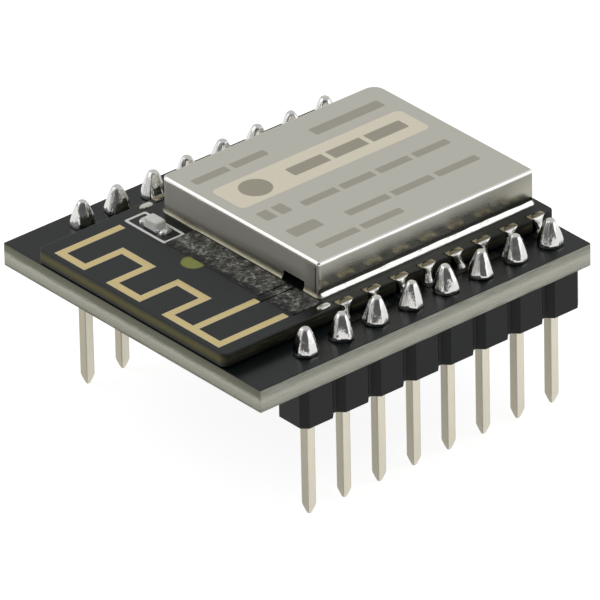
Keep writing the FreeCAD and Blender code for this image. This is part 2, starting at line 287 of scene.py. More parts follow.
# %% [markdown]
# ## The boards
#
# A circuit board is woven glass in resin, seen bare along its sawn edges, with a thin black
# lacquer called solder mask above and below. One material can do both: the direction that a
# face looks in tells lacquer from edge. The lacquer is nearly black and glossy, so most of
# what is seen on it is reflection, and it goes darker where a taller part blocks the sky.
# The module's lacquer also has a round opening near its antenna, where the olive resin shows.

# %% Board finish


def board_finish(name, low, high, layers, side_paint_share, painted_side_tone, opening=None):
    """Black lacquer on level faces, layered glass fibre on upright ones, and long sides painted towards
    one tone as light or shade.
    """
    paint = Paint(name, IOR=1.4)
    upright = 1 - paint.soft_step(abs(paint.facing("Z")) * 2)
    height = (paint.z - low[2]) / (high[2] - low[2])
    streaks = paint.noise(2.4, 4.0, (0.3, 0.3, 7.0))
    fibres = paint.noise(7.0, 2.0, (0.6, 0.6, 2.5))
    speckle = paint.noise(11.0, 3.0, roughness=0.7)
    edge = paint.ramp(height * 0.84 + streaks * 0.24 + fibres * 0.12 - 0.1, layers)
    edge = paint.mix(speckle * 1.5 - 0.7, edge, seen(44, 43, 34))
    # Faces that look along Y are painted towards the side tone: painted light on the carrier, painted
    # shade on the module.
    edge = paint.mix(abs(paint.facing("Y")) * (streaks * 3.4 - 0.7) * side_paint_share, edge, painted_side_tone)
    lacquer = paint.mix(paint.noise(0.5, 3.0), lacquer_dark, lacquer_light)
    if opening:
        hole = paint.disc(opening, 0.3)
        ragged = paint.soft_step(hole * 2.2 - paint.noise(2.4, 3.0) * 1.1)
        olive = paint.mix(paint.noise(4.0, 3.0), seen(130, 136, 52), seen(158, 164, 74))
        lacquer = paint.mix(ragged, lacquer, olive)
    skin = paint.noise(14.0, 2.0) * 0.5 + paint.noise(2.2, 2.0) * 0.5
    return paint.use(
        Base_Color=paint.mix(upright, lacquer, edge),
        Roughness=0.2 + skin * 0.1 + upright * 0.4,
        Normal=paint.bump(skin + streaks * upright * 3, 0.006, 0.5),
    )


bare_spot = {"centre": (strip_low[0] + 0.15, 1.0), "radius": 0.68}
# The carrier's long sides are painted lighter: painted light.
carrier_finish = board_finish(
    "carrier_finish", carrier_low, carrier_high, carrier_layers, 0.5, seen(255, 255, 240)
)
# The module's long sides are painted near black: painted shade.
module_finish = board_finish(
    "module_finish", module_low, module_high, module_layers_with_gap_shadow, 0.95, seen(20, 19, 13), bare_spot
)
print("board finishes made")

# %% [markdown]
# ## Metals
#
# Three metals meet here. A metal has no colour but its reflection, so the base colour tints
# what it mirrors. Solder is bright tin that froze with a skin of ripples, so its roughness
# and its normal both wander. It is dressed in three ways: plain on the pins, with a dull skin
# on top of the module's edge joints, and creamy at the can's ends.

# %% Solder
skin_limit = 8.03


def solder_finish():
    """Bright tin with frozen ripples and duller islands."""
    paint = Paint("solder_finish", Metallic=1.0)
    dull = paint.noise(1.8, 3.0)
    lumps = paint.noise(3.5, 2.0, (1.0, 1.0, 0.35))
    streaks = paint.noise(7.5, 2.0, (1.0, 1.0, 0.12))
    return paint.use(
        Base_Color=paint.mix(dull, seen(224, 223, 220), tin_bright),
        Roughness=0.05 + dull * 0.16,
        Normal=paint.bump(lumps * 0.9 + streaks * 0.75, 0.04, 0.6),
    )


def edge_solder_finish():
    """Solder whose level top inside the board's edge is a dull gold-grey skin."""
    paint = Paint("edge_solder_finish", Metallic=1.0)
    level = paint.soft_step(paint.facing("Z") * 6 - 4.6)
    skin = level * paint.soft_step((skin_limit - abs(paint.y)) / 0.04)
    dull = paint.noise(2.4, 3.0)
    ripple = paint.noise(5.0, 2.0, (1.0, 1.0, 0.35))
    bright = paint.mix(dull, seen(218, 217, 212), tin_bright)
    return paint.use(
        Base_Color=paint.mix(skin, bright, seen(150, 142, 116)),
        Roughness=0.07 + dull * 0.16 + skin * 0.3,
        Normal=paint.bump(ripple, 0.04, 0.6),
    )


def foot_finish():
    """Solder at the can's foot: bright along the sides and creamy, duller, at the can's ends."""
    paint = Paint("foot_solder_finish", Metallic=1.0)
    end = paint.soft_step(abs(paint.facing("X")) * 4 - 1)
    lumps = paint.noise(2.6, 3.0)
    shadowed = end * paint.soft_step((paint.z - can_low[2]) / 0.08 - 1.3)
    colour = paint.mix(end, tin_bright, seen(184, 180, 160))
    colour = paint.mix(shadowed, colour, seen(92, 89, 68))
    return paint.use(
        Base_Color=paint.mix(lumps * 0.5, colour, seen(196, 190, 168)),
        Roughness=0.12 + lumps * 0.14 + end * 0.22,
        Normal=paint.bump(lumps, 0.04, 0.6),
    )


solder = solder_finish()
edge_solder = edge_solder_finish()
foot_solder = foot_finish()
print("solder finishes made")

# %% [markdown]
# The header pins are drawn wire with a pale gold flash, and the drawing leaves fine lines along their
# length. Noise that is stretched some thirty times along Z gives such lines. Faces that look along X are
# painted darker, as shade. A face that looks halfway between X and Y belongs to a rounded corner, which
# is painted paler as a highlight.

# %% Pins


def pin_finish():
    """Gold-flashed wire: drawn lines along Z, faces along X painted darker as shade, and corners painted
    pale as a highlight.
    """
    paint = Paint("pin_finish")
    lines = paint.noise(14.0, 2.0, (1.0, 1.0, 0.03))
    blotch = paint.noise(0.9, 2.0)
    aside = abs(paint.facing("X"))
    # Rounded corners are painted paler and less metallic: a painted highlight.
    corner = paint.soft_step(aside * abs(paint.facing("Y")) * 5 - 1)
    gold = paint.mix(lines * 0.6 + blotch * 0.4, seen(238, 231, 208), pin_gold)
    # Faces that look along X are painted darker: painted shade.
    gold = paint.mix(paint.soft_step(aside * 2 - 0.6) * 0.85, gold, seen(186, 180, 158))
    return paint.use(
        Base_Color=paint.mix(corner, gold, seen(252, 246, 228)),
        Metallic=0.85 - corner * 0.7,
        Roughness=0.28 + lines * 0.12,
        Normal=paint.bump(lines, 0.006, 0.4),
    )


pin_metal = pin_finish()
print("pin finish made")

# %% [markdown]
# The antenna and the edge pads are gold-flashed copper, duller and browner than solder. The track's
# finish reads a map that its mesh is given later, and pales both rims as a painted highlight. Pads and
# lands show their plating only outside the lacquer, so their finish changes at a certain distance from
# the board's centre line.

# %% Gold-flashed copper
pad_limit = 7.6
land_limit = 8.15


def trace_finish():
    """Gold-flashed track: warm in the middle, with a painted highlight along both rims and on its thin
    walls.
    """
    paint = Paint("trace_gold_finish", Metallic=0.55)
    across = paint.part(paint.node("ShaderNodeTexCoord", pick="UV"), "X")
    speck = paint.noise(9.0, 3.0, roughness=0.6)
    drift = paint.noise(0.8, 2.0)
    # The rims and thin walls are painted paler: a painted highlight.
    rim = paint.soft_step((abs(across - 0.5) - 0.40 + (speck - 0.5) * 0.08) / 0.06)
    top = paint.mix(speck * 0.6 + drift * 0.4, seen(236, 210, 142), trace_colour)
    return paint.use(
        Base_Color=paint.mix(rim * 0.8, top, seen(238, 230, 206)),
        Roughness=0.34 + speck * 0.14,
        Normal=paint.bump(speck, 0.006, 0.5),
    )


def pad_finish(name, limit, shown, covered):
    """Plated copper outside `limit` from the board's centre line, and lacquer over the rest."""
    paint = Paint(name)
    speck = paint.noise(5.0, 3.0, roughness=0.6)
    bare = paint.soft_step((abs(paint.y) - limit) / 0.04 + (speck - 0.5))
    gold = paint.mix(speck, *shown)
    return paint.use(
        Base_Color=paint.mix(bare, covered, gold),
        Metallic=bare * 0.6,
        Roughness=0.24 + bare * 0.16 + speck * 0.1,
        Normal=paint.bump(speck, 0.008, 0.5),
    )


trace_gold = trace_finish()
pad_tones = (seen(140, 130, 100), seen(214, 204, 172))
land_tones = (seen(30, 28, 22), seen(66, 60, 46))
pad_gold = pad_finish("pad_gold_finish", pad_limit, pad_tones, lacquer_dark)
land_gold = pad_finish("land_gold_finish", land_limit, land_tones, lacquer_dark)
print("gold finishes made")

# %% [markdown]
# The strip beside the can is copper with a thin, rough coat of tin. Under a lens it is a mix
# of pale grains, dark pits and grey ground. Scattered cells give the pits, and two noises of
# different grain give the rest.

# %% Rough tinned ground


def rough_tin_finish():
    """Grey ground with pale grains and dark pits, fading raggedly into black; its sides painted a lighter
    grey, as painted light.
    """
    paint = Paint("rough_tin_finish", Metallic=0.3)
    grain = paint.noise(4.4, 4.0, roughness=0.82)
    blotch = paint.noise(1.7, 3.0)
    tones = [
        (0.1, seen(30, 30, 29)), (0.3, seen(84, 84, 80)),
        (0.56, seen(122, 121, 114)), (0.85, seen(214, 212, 202)),
    ]
    colour = paint.ramp(grain * 2.5 + blotch * 1.2 - 1.44, tones)
    pitted = paint.soft_step(paint.noise(1.3, 2.0) * 5 - 2.1)
    pits = paint.soft_step(1.5 - paint.cells(2.3) * 5.5) * pitted
    grainy = paint.soft_step(paint.noise(1.1, 2.0) * 6 - 2.9)
    grains = paint.soft_step(1.2 - paint.cells(3.7) * 6) * grainy
    ragged = (paint.noise(2.6, 4.0, roughness=0.7) - 0.72) * 3.2
    border = paint.soft_step((paint.x - strip_low[0]) / 0.6 + ragged)
    border = border * paint.soft_step((strip_high[0] - 0.07 - paint.x) / 0.04)
    shown = paint.mix(pits, paint.mix(grains * 0.6, colour, seen(206, 204, 192)), seen(10, 10, 9))
    # Faces that look along X are painted a lighter grey: painted light that hides their shading.
    rim = paint.soft_step(abs(paint.facing("X")) * 4 - 1)
    return paint.use(
        Base_Color=paint.mix(rim, paint.mix(border, lacquer_dark, shown), seen(116, 118, 116)),
        Roughness=0.4 + grain * 0.2,
        Normal=paint.bump(grain - pits * 0.6, 0.07, 0.9),
    )


rough_tin = rough_tin_finish()
print("rough tin made")

# %% [markdown]
# ## The can's sheet and its plain markings
#
# The can is nickel-plated sheet. A laser has bleached a cream band across its top and burnt
# darker marks. Here the marks are plain bars and one plain disc, each a rounded rectangle
# worked out from the distance to its centre. A row of bars is one rectangle cut by a
# repeating gap.

# %% Plain markings
cream_band = {"centre": (3.62, 2.07), "half": (6.9, 1.38), "radius": 0.42}
band_disc = {"centre": (-1.15, 2.07), "radius": 0.98}
mark_rows = [
    {"from": -3.35, "to": 1.9, "y": 4.78, "height": 0.62, "bars": 2},
    {"from": 5.25, "to": 10.3, "y": 4.72, "height": 0.8, "bars": 1},
    {"from": -3.1, "to": -1.25, "y": -0.72, "height": 1.05, "bars": 2},
    {"from": -0.45, "to": 10.2, "y": -1.1, "height": 0.6, "bars": 4},
    {"from": -3.1, "to": -1.05, "y": -3.2, "height": 0.95, "bars": 1},
    {"from": 0.65, "to": 10.2, "y": -3.58, "height": 0.6, "bars": 3},
    {"from": -2.9, "to": 3.2, "y": -5.25, "height": 0.58, "bars": 2},
]
title_row = {"from": 1.35, "to": 9.7, "y": 2.07, "height": 0.95, "bars": 3}


def bar_row(paint, row, gap=0.32):
    """1 on a row of equal bars: a long rounded rectangle less a gap at each whole cell."""
    centre = ((row["from"] + row["to"]) / 2, row["y"])
    half = ((row["to"] - row["from"]) / 2, row["height"] / 2)
    bar = paint.patch(centre, half, 0.12, 0.06)
    if row["bars"] == 1:
        return bar
    cell = (row["to"] - row["from"]) / row["bars"]
    turn = paint.math("FRACT", (paint.x - row["from"]) / cell + 0.5)
    away = abs(turn - 0.5) * cell - gap / 2
    first = paint.soft_step((paint.x - row["from"] - cell / 2) / 0.05)
    last = paint.soft_step((row["to"] - cell / 2 - paint.x) / 0.05)
    slot = paint.soft_step(0.5 - away / 0.06) * first * last
    return bar * (1 - slot)


print("rows of bars:", len(mark_rows) + 1)

# %% [markdown]
# The sheet's end walls are duller and a little darker, its long walls are hazier towards the fold, and
# the folds are painted white as a highlight. The walls are told from the fold by their height and not by
# their normal, because the modifier that thickens the sheet tilts the normals at the wall's foot.

# %% Can finish
fold_zone = 0.21
haze_from = 1.05
haze_rise = 1.2
tint_from = 5.0
tint_run = 5.0


def can_finish():
    """Satin nickel, duller and darker on end walls and hazier up the long ones, folds painted white as a
    highlight; cream band and plain marks on top.
    """
    paint = Paint("can_finish", Metallic=1.0)
    level = paint.soft_step(abs(paint.facing("Z")) * 10 - 8.5)
    below_fold = paint.soft_step((can_high[2] - fold_zone - paint.z) / 0.04)
    sideways = paint.soft_step(abs(paint.facing("X")) * 4 - 2.6)
    end_wall = sideways * below_fold
    long_wall = (1 - sideways) * below_fold
    frost = long_wall * paint.soft_step((paint.z - can_low[2] - haze_from) / haze_rise)
    grain = paint.noise(12.0, 3.0)
    drift = paint.noise(0.25, 2.0)
    band = paint.patch(cream_band["centre"], cream_band["half"], cream_band["radius"], 0.06) * level
    disc = paint.disc(band_disc, 0.06) * level
    marks = bar_row(paint, mark_rows[0])
    for row in mark_rows[1:]:
        marks = paint.math("MAXIMUM", marks, bar_row(paint, row))
    title = paint.math("MAXIMUM", bar_row(paint, title_row), disc) * level
    bare = paint.mix(grain * 0.5 + drift * 0.5, seen(221, 219, 207), can_colour)
    bare = paint.mix(end_wall, bare, seen(184, 183, 175))
    tint = long_wall * paint.soft_step((paint.x - tint_from) / tint_run)
    bare = paint.mix(tint * (0.7 + drift * 0.6), bare, seen(178, 176, 162))
    # The fold is painted near white: a painted highlight.
    bare = paint.mix((1 - level) * (1 - below_fold), bare, seen(255, 254, 250))
    colour = paint.mix(marks * level, bare, seen(190, 186, 173))
    colour = paint.mix(band, colour, seen(255, 247, 226))
    colour = paint.mix(title, colour, seen(186, 182, 164))
    printed = paint.math("MAXIMUM", band, marks * level)
    satin = grain * 0.06 + 0.13
    return paint.use(
        Base_Color=colour,
        Metallic=1 - printed * 0.35 - end_wall * 0.7 - frost * 0.6,
        Roughness=0.2 + level * satin + end_wall * 0.37 + printed * 0.12 + frost * 0.3,
        Normal=paint.bump(grain * level + printed * 0.4, 0.006, 0.5),
    )


def seam_shade_finish():
    """Sheared edge of the sheet: rough bare steel, painted near black as the shade inside the slits and
    seams.
    """
    paint = Paint("seam_shade_edge_finish", Metallic=0.6)
    bite = paint.noise(8.0, 3.0)
    return paint.use(
        Base_Color=paint.mix(bite, seen(22, 21, 20), seen(48, 46, 43)),
        Roughness=0.5 + bite * 0.2,
        Normal=paint.bump(bite, 0.01, 0.5),
    )


can_sheet = can_finish()
seam_shade_sheet = seam_shade_finish()
print("can finishes made")

# %% [markdown]
# ## Plastics, lamp and hidden parts
#
# The header plastic is a black glass-filled nylon: satin, with a very fine mould grain. The
# lamp has a cloudy resin window. The parts under the can are dressed too, although only
# someone who lifts the can will see them.

# %% Plastic finishes


def grain_finish(name, dark, light, grain, depth, roughness, **uniform):
    """Moulded or fired surface: two close tones and a fine grain in height and gloss."""
    paint = Paint(name, **uniform)
    fine = paint.noise(grain, 3.0)
    wide = paint.noise(grain / 12, 2.0)
    return paint.use(
        Base_Color=paint.mix(fine * 0.4 + wide * 0.6, dark, light),
        Roughness=roughness + fine * 0.15,
        Normal=paint.bump(fine, depth, 0.5),
    )


header_plastic = grain_finish(
    "header_plastic_finish", seen(14, 16, 17), seen(22, 24, 26), 16.0, 0.01, 0.34, IOR=1.37
)
chip_plastic = grain_finish("chip_plastic_finish", seen(26, 26, 28), seen(40, 40, 42), 20.0, 0.01, 0.5)
ceramic = grain_finish("ceramic_finish", seen(150, 124, 98), seen(176, 150, 120), 9.0, 0.01, 0.45)
crystal_lid = grain_finish(
    "crystal_finish", seen(170, 170, 168), seen(200, 200, 198), 14.0, 0.006, 0.25, Metallic=1.0
)
white_ink = grain_finish("white_ink_finish", seen(240, 240, 237), seen(254, 254, 252), 11.0, 0.01, 0.55)
lamp_resin = grain_finish(
    "lamp_resin_finish", seen(226, 226, 212), seen(255, 255, 252), 4.5, 0.14, 0.16, Coat_Weight=0.5
)
print("plastics made")

# %% [markdown]
# ## Finishes on the solids that stay
#
# Flat pieces with crisp edges keep their solids. A solid's material slots are filled with
# the finish, and its mesh isn't touched.

# %% Dress the solids


def dress(node, material):
    """Give a solid one finish, in all of its slots."""
    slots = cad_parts[node].data.materials
    if not slots:
        slots.append(material)
    for index in range(len(slots)):
        slots[index] = material


kept = {
    "module_edge_pads": pad_gold,
    "carrier_lands": land_gold,
    "ground_strip": rough_tin,
    "wifi_chip": chip_plastic,
    "flash_chip": chip_plastic,
    "resistors": chip_plastic,
    "crystal": crystal_lid,
    "capacitors": ceramic,
    "rf_inductor": ceramic,
}
for kept_node, kept_finish in kept.items():
    dress(kept_node, kept_finish)
print("solids dressed:", len(kept))

# %% [markdown]
# ## Meshes from grids of points
#
# Most new pieces are tubes of one kind or another: a closed ring of points, repeated along a
# path, with a lid at each end. If the rings are rows of an array, the faces are found from
# their row and column numbers alone, so no loop runs over the points.

# %% Turn rings of points into a piece


def ring_faces(ring_count, ring_size, start=0):
    """Quads between neighbouring rings, from (i, j) to (i + 1, j + 1), wrapping round."""
    index = np.arange(ring_count * ring_size).reshape(ring_count, ring_size) + start
    ahead = np.roll(index, -1, axis=1)
    return np.stack([index[:-1], ahead[:-1], ahead[1:], index[1:]], axis=-1).reshape(-1, 4)


def tube_parts(rings, start=0):
    """Vertices and faces of stacked rings closed by a lid at both ends."""
    count, size = rings.shape[:2]
    quads = ring_faces(count, size, start).tolist()
    floor_lid = (np.arange(size)[::-1] + start).tolist()
    top_lid = (np.arange(size) + start + (count - 1) * size).tolist()
    return rings.reshape(-1, 3), quads + [floor_lid, top_lid]


def spread(*coordinates):
    """Points from arrays of their coordinates, each spread over the others' rows or columns."""
    return np.stack(np.broadcast_arrays(*coordinates), axis=-1)


def stacked(outline_at, levels):
    """Rings of an outline at levels of (height, inset), where `outline_at` draws it for an inset."""
    rings = [outline_at(inset) for _, inset in levels]
    return np.stack([np.c_[ring, np.full(len(ring), z)] for ring, (z, _) in zip(rings, levels)])


def add_piece(name, vertices, faces, material, stands_for=(), sharp=40.0):
    """Object at the origin from points in millimetres, riding on the board's one body."""
    mesh = bpy.data.meshes.new(name)
    mesh.from_pydata((np.asarray(vertices) * MM).tolist(), [], faces)
    mesh.materials.append(material)
    mesh.shade_smooth()
    mesh.set_sharp_from_angle(angle=math.radians(sharp))
    piece = bpy.data.objects.new(name, mesh)
    bpy.context.scene.collection.objects.link(piece)
    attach(piece, "root")
    if stands_for:
        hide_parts(*stands_for)
    return piece


def joined(parts):
    """Several closed tubes as one list of points and one of faces."""
    points, faces, start = [], [], 0
    for rings in parts:
        vertices, quads = tube_parts(rings, start)
        points.append(vertices)
        faces += quads
        start += len(vertices)
    return np.concatenate(points), faces


print("mesh helpers ready")

# %% [markdown]
# A profile is written as a few stations, and a smooth curve is drawn through them. The curve
# used here passes through every station with a slope set by its two neighbours.

# %% Smooth curve through stations


def through(stations, steps):
    """Curve through rows of stations, each span a cubic blend of its ends and their slopes."""
    stations = np.asarray(stations, float)
    slopes = np.gradient(stations, axis=0)
    span = np.linspace(0, len(stations) - 1, (len(stations) - 1) * steps + 1)
    left = np.minimum(span.astype(int), len(stations) - 2)
    part = (span - left)[:, None]
    start, end = stations[left], stations[left + 1]
    out, back = slopes[left], slopes[left + 1]
    cube, square = part**3, part**2
    return (
        (2 * cube - 3 * square + 1) * start + (cube - 2 * square + part) * out
        + (3 * square - 2 * cube) * end + (cube - square) * back
    )


def rounded_ring(half_x, half_y, power, size):
    """Ring (x, y) of a superellipse |x/a|^n + |y/b|^n = 1: round at n = 2, squarer as n grows."""
    turn = np.linspace(0, 2 * np.pi, size, endpoint=False)
    cosine, sine = np.cos(turn), np.sin(turn)
    stretch = (np.abs(cosine) ** power + np.abs(sine) ** power) ** (-1 / power)
    return half_x * stretch * cosine, half_y * stretch * sine


print("curve through 3 stations has", len(through([[0, 0], [1, 1], [2, 0]], 4)), "points")

# %% [markdown]
# ## Board blanks
#
# A board is routed out of a panel, and the router and the lacquer leave its rims slightly
# soft. That soft rim matters: it draws a pale line round the module's dark top. Each blank
# is an outline carried up four or more levels and drawn in near the top and the bottom. The
# module's outline bites half a circle out of its edge at every contact.

# %% Outlines that can be drawn in


def drawn_in(outline, inset):
    """Ring moved in by `inset`, along each corner's bisector, over the cosine of half its turn."""
    side = np.roll(outline, -1, axis=0) - outline
    side /= np.linalg.norm(side, axis=1)[:, None]
    normal = np.stack([-side[:, 1], side[:, 0]], 1)
    both = normal + np.roll(normal, 1, axis=0)
    return outline + inset * 2 * both / (both**2).sum(1)[:, None]


def corner_arcs(low, high, radius, steps=7):
    """Four quarter circles of a rounded rectangle, anticlockwise from the corner at +x +y."""
    turn = np.linspace(0, np.pi / 2, steps)
    corners = [(high[0], high[1]), (low[0], high[1]), (low[0], low[1]), (high[0], low[1])]
    arcs = []
    for quarter, corner in enumerate(corners):
        middle = np.clip(corner, np.array(low[:2]) + radius, np.array(high[:2]) - radius)
        angle = turn + quarter * np.pi / 2
        arcs.append(middle + radius * np.c_[np.cos(angle), np.sin(angle)])
    return arcs


def bitten_edge(places, y, radius, side, steps=9):
    """Half circles bitten into the edge at y: (place + r cos t, y - r sin t) on side 1."""
    turn = np.linspace(0, np.pi, steps)
    x = np.array(places)[:, None] + side * radius * np.cos(turn)
    return spread(x, y - side * radius * np.sin(turn)).reshape(-1, 2)


def slab_rings(outline, low_z, high_z, rim):
    """Outline carried up a slab whose top and bottom rims are quarter circles of radius `rim`."""
    turn = np.linspace(0, np.pi / 2, 5)
    lower = [(low_z + rim * (1 - math.sin(a)), rim * (1 - math.cos(a))) for a in turn[::-1]]
    upper = [(high_z - rim * (1 - math.sin(a)), rim * (1 - math.cos(a))) for a in turn]
    levels = [(low_z, rim * 1.5)] + lower + upper + [(high_z, rim * 1.5)]
    return stacked(lambda inset: drawn_in(outline, inset), levels)


print("outline helpers ready")

# %% [markdown]
# The carrier is a plain rounded rectangle. The module's outline is its four corners with the
# bitten edges between them, taken in order round the board. The bites are centred on the
# solid that stands for the edge solder, so the two line up.

# %% Build the boards
contact_pitch = 2.0
contact_radius = 0.4
far_low, far_high = limits("edge_solder_far")
contact_middle = (far_low[0] + far_high[0]) / 2
contact_places = contact_middle + contact_pitch * (np.arange(pins_per_row) - (pins_per_row - 1) / 2)

carrier_outline = np.concatenate(corner_arcs(carrier_low, carrier_high, 0.1))
points, faces = tube_parts(slab_rings(carrier_outline, carrier_low[2], carrier_high[2], 0.04))
add_piece("carrier_blank", points, faces, carrier_finish, ["carrier_board"], 60.0)

arcs = corner_arcs(module_low, module_high, 0.4, 11)
far_edge = bitten_edge(contact_places[::-1], module_high[1], contact_radius, 1)
near_edge = bitten_edge(contact_places, module_low[1], contact_radius, -1)
module_outline = np.concatenate([arcs[0], far_edge, arcs[1], arcs[2], near_edge, arcs[3]])
points, faces = tube_parts(slab_rings(module_outline, module_low[2], module_high[2], 0.06))
add_piece("module_blank", points, faces, module_finish, ["module_board"], 60.0)
print("module outline has", len(module_outline), "points, contacts from", contact_places[0].round(2))

# %% [markdown]
# ## Antenna track
#
# The antenna is a copper track that folds back and forth. It's a ribbon: a section carried along a centre
# line, with both offset points at each bend moved out along the bend's bisector so that the width holds.
# The ribbon has a map whose first number runs from 0 on its left rim to 1 on its right one, and the
# finish reads it to paint the rims paler, as a highlight.

# %% Ribbons along a centre line
track_half = 0.25
track_rim = 0.05
section_across = np.array([-1, -1, -1 + track_rim / track_half, 1 - track_rim / track_half, 1, 1])
section_height = np.array([0.0, 0.6, 1.0, 1.0, 0.6, 0.0])


def ribbon_rings(path, half, floor, height):
    """Sections along a path: an offset point lies on the bend's bisector, at half over its cosine."""
    path = np.asarray(path, float)
    run = np.diff(path, axis=0)
    run /= np.linalg.norm(run, axis=1)[:, None]
    side = np.stack([-run[:, 1], run[:, 0]], 1)
    first, last = np.concatenate([side[:1], side]), np.concatenate([side, side[-1:]])
    both = first + last
    bisector = 2 * both / (both**2).sum(1)[:, None]
    rings = np.empty((len(path), len(section_across), 3))
    rings[..., :2] = path[:, None] - bisector[:, None] * (section_across * half)[:, None]
    rings[..., 2] = floor + height * section_height
    return rings[:, ::-1]


def map_across(piece, ring_size, ring_total):
    """Give the piece a map (across, along), where across is the section's -1 to 1 as 0 to 1."""
    across = (section_across[::-1] + 1) / 2
    index = np.empty(len(piece.data.loops), int)
    piece.data.loops.foreach_get("vertex_index", index)
    chart = piece.data.uv_layers.new(name="track")
    place = np.stack([across[index % ring_size], index / (ring_size * ring_total)], 1)
    chart.data.foreach_set("uv", place.ravel())


print("track section has", len(section_across), "corners")

# %% [markdown]
# The centre line goes from the free arm's end to the ground line, and swaps between two
# columns at each level. The feed is a second, straight line that starts inside the first, so
# the two overlap as they do in one sheet of copper.

# %% Build the antenna
track_low, track_high = limits("antenna_trace")
column_x = (track_low[0] + track_half, -8.70)
turn_y = np.linspace(4.60, -2.52, 4)
arm_end, ground_end, feed_end = -6.96, track_high[0], -6.76
meander = [(arm_end, track_high[1] - track_half), (column_x[0], track_high[1] - track_half)]
for turn_number, y in enumerate(turn_y):
    start, end = column_x if turn_number % 2 == 0 else column_x[::-1]
    meander += [(start, y), (end, y)]
meander += [(column_x[0], track_low[1] + track_half), (ground_end, track_low[1] + track_half)]
feed_line = [(column_x[0] + track_half - track_rim, feed_y), (feed_end, feed_y)]
tubes = [ribbon_rings(line, track_half, track_low[2], 0.04) for line in (meander, feed_line)]
points, faces = joined(tubes)
antenna = add_piece("antenna_track", points, faces, trace_gold, ["antenna_trace"], 20.0)
map_across(antenna, len(section_across), sum(len(tube) for tube in tubes))
meander_length = float(np.abs(np.diff(meander, axis=0)).sum())
print("antenna bends:", len(meander) - 2, "length", round(meander_length, 1), "mm")

# %% [markdown]
# ## Header pins
#
# A header pin is a square wire with slightly rounded corners, coined to a blunt point at
# each end. Its rings are superellipses of a high power, almost square, and they shrink
# along a short bulging taper. Rounded corners matter more than their size suggests: each
# one catches a bright or dark line from top to bottom.

# %% Build the pins
pin_power = 9.0
pin_ring_size = 64
tip_taper = 0.65
tip_share = 0.26


def pin_rings(low, high):
    """Rings of one pin: full width between the tapers, easing to tip_share of it at both ends."""
    half = (high[0] - low[0]) / 2
    centre = (low + high) / 2
    ease = np.array([0.0, 0.04, 0.15, 0.35, 0.6, 0.85, 1.0])
    share = tip_share + (1 - tip_share) * (0.65 * ease + 0.35 * np.sin(ease * np.pi / 2))
    share[0] = tip_share * 0.6
    climb = ease * tip_taper
    heights = np.concatenate([low[2] + climb, high[2] - climb[::-1]])
    shares = np.concatenate([share, share[::-1]])
    x, y = rounded_ring(half, half, pin_power, pin_ring_size)
    shares = shares[:, None]
    return spread(centre[0] + shares * x, centre[1] + shares * y, heights[:, None])


for row in rows:
    for number in range(1, pins_per_row + 1):
        node = f"header_pin_{row}_{number}"
        points, faces = tube_parts(pin_rings(*limits(node)))
        add_piece(f"pin_{row}_{number}", points, faces, pin_metal, [node], 60.0)
print("pins:", 2 * pins_per_row, "each with", len(faces), "faces")

# %% [markdown]
# ## Header strips
#
# The plastic strips are moulded in one length with a notch between pins, so that they can be
# snapped. Their outline runs round all the notches, and the same outline is drawn in by a
# hair at the top and bottom edges, which gives the moulding its soft rim.

# %% Build the strips
notch_depth = 0.39
notch_flat = 0.18
rim = 0.05


def strip_outline(low, high, inset):
    """Ring round a notched strip, every corner moved inwards by `inset`."""
    pitch = (high[0] - low[0]) / pins_per_row
    slope = inset * math.tan(math.pi / 8)
    cut = notch_depth + notch_flat / 2
    starts = low[0] + pitch * np.arange(pins_per_row)
    ends = starts + pitch
    inner = np.stack([
        starts + notch_flat / 2 + slope, starts + cut + slope,
        ends - cut - slope, ends - notch_flat / 2 - slope,
    ], 1)
    inner[0, :2] = low[0] + inset, low[0] + notch_depth + slope
    inner[-1, 2:] = high[0] - notch_depth - slope, high[0] - inset
    xs = inner.reshape(-1)
    outer_y = (high[1] - low[1]) / 2 - inset
    waist_y = outer_y - notch_depth
    depth = np.tile([waist_y, outer_y, outer_y, waist_y], pins_per_row)
    depth[[0, -1]] = waist_y + inset - slope
    middle = (low[1] + high[1]) / 2
    front = np.stack([xs, middle - depth], 1)
    back = np.stack([xs[::-1], middle + depth[::-1]], 1)
    return np.concatenate([front, back])


for row in rows:
    node = "header_block_" + row
    low, high = limits(node)
    levels = [(low[2], rim), (low[2] + rim, 0.0), (high[2] - rim, 0.0), (high[2], rim)]
    rings = stacked(lambda inset: strip_outline(low, high, inset), levels)
    points, faces = tube_parts(rings)
    add_piece("moulded_strip_" + row, points, faces, header_plastic, [node], 20.0)
print("strip outline has", rings.shape[1], "corners")

# %% [markdown]
# ## Solder cones
#
# Where a pin comes up through the board, solder fills the hole and climbs the pin. It is
# round where it wets the copper ring, swells a little, and narrows to the pin's blunt end.
# As it froze it shrank into a few flat sides that meet in soft ridges, so a section is a
# soft polygon: the point in each direction is where the nearest of nine sides is met, and
# a power sum rounds the ridges. No two joints freeze alike, so each has its own sides,
# height and lean from one seeded source of chance.

# %% Build the solder cones
chance = np.random.default_rng(41)
cone_ring_size = 96
cone_sides = 9
cone_stations = [
    (0.0, 0.64, 0.0), (0.03, 0.68, 0.2), (0.09, 0.71, 0.7), (0.22, 0.725, 1.0), (0.5, 0.66, 1.0),
    (0.95, 0.53, 1.0), (1.35, 0.395, 1.0), (1.6, 0.275, 0.9), (1.70, 0.17, 0.5), (1.74, 0.03, 0.0),
]


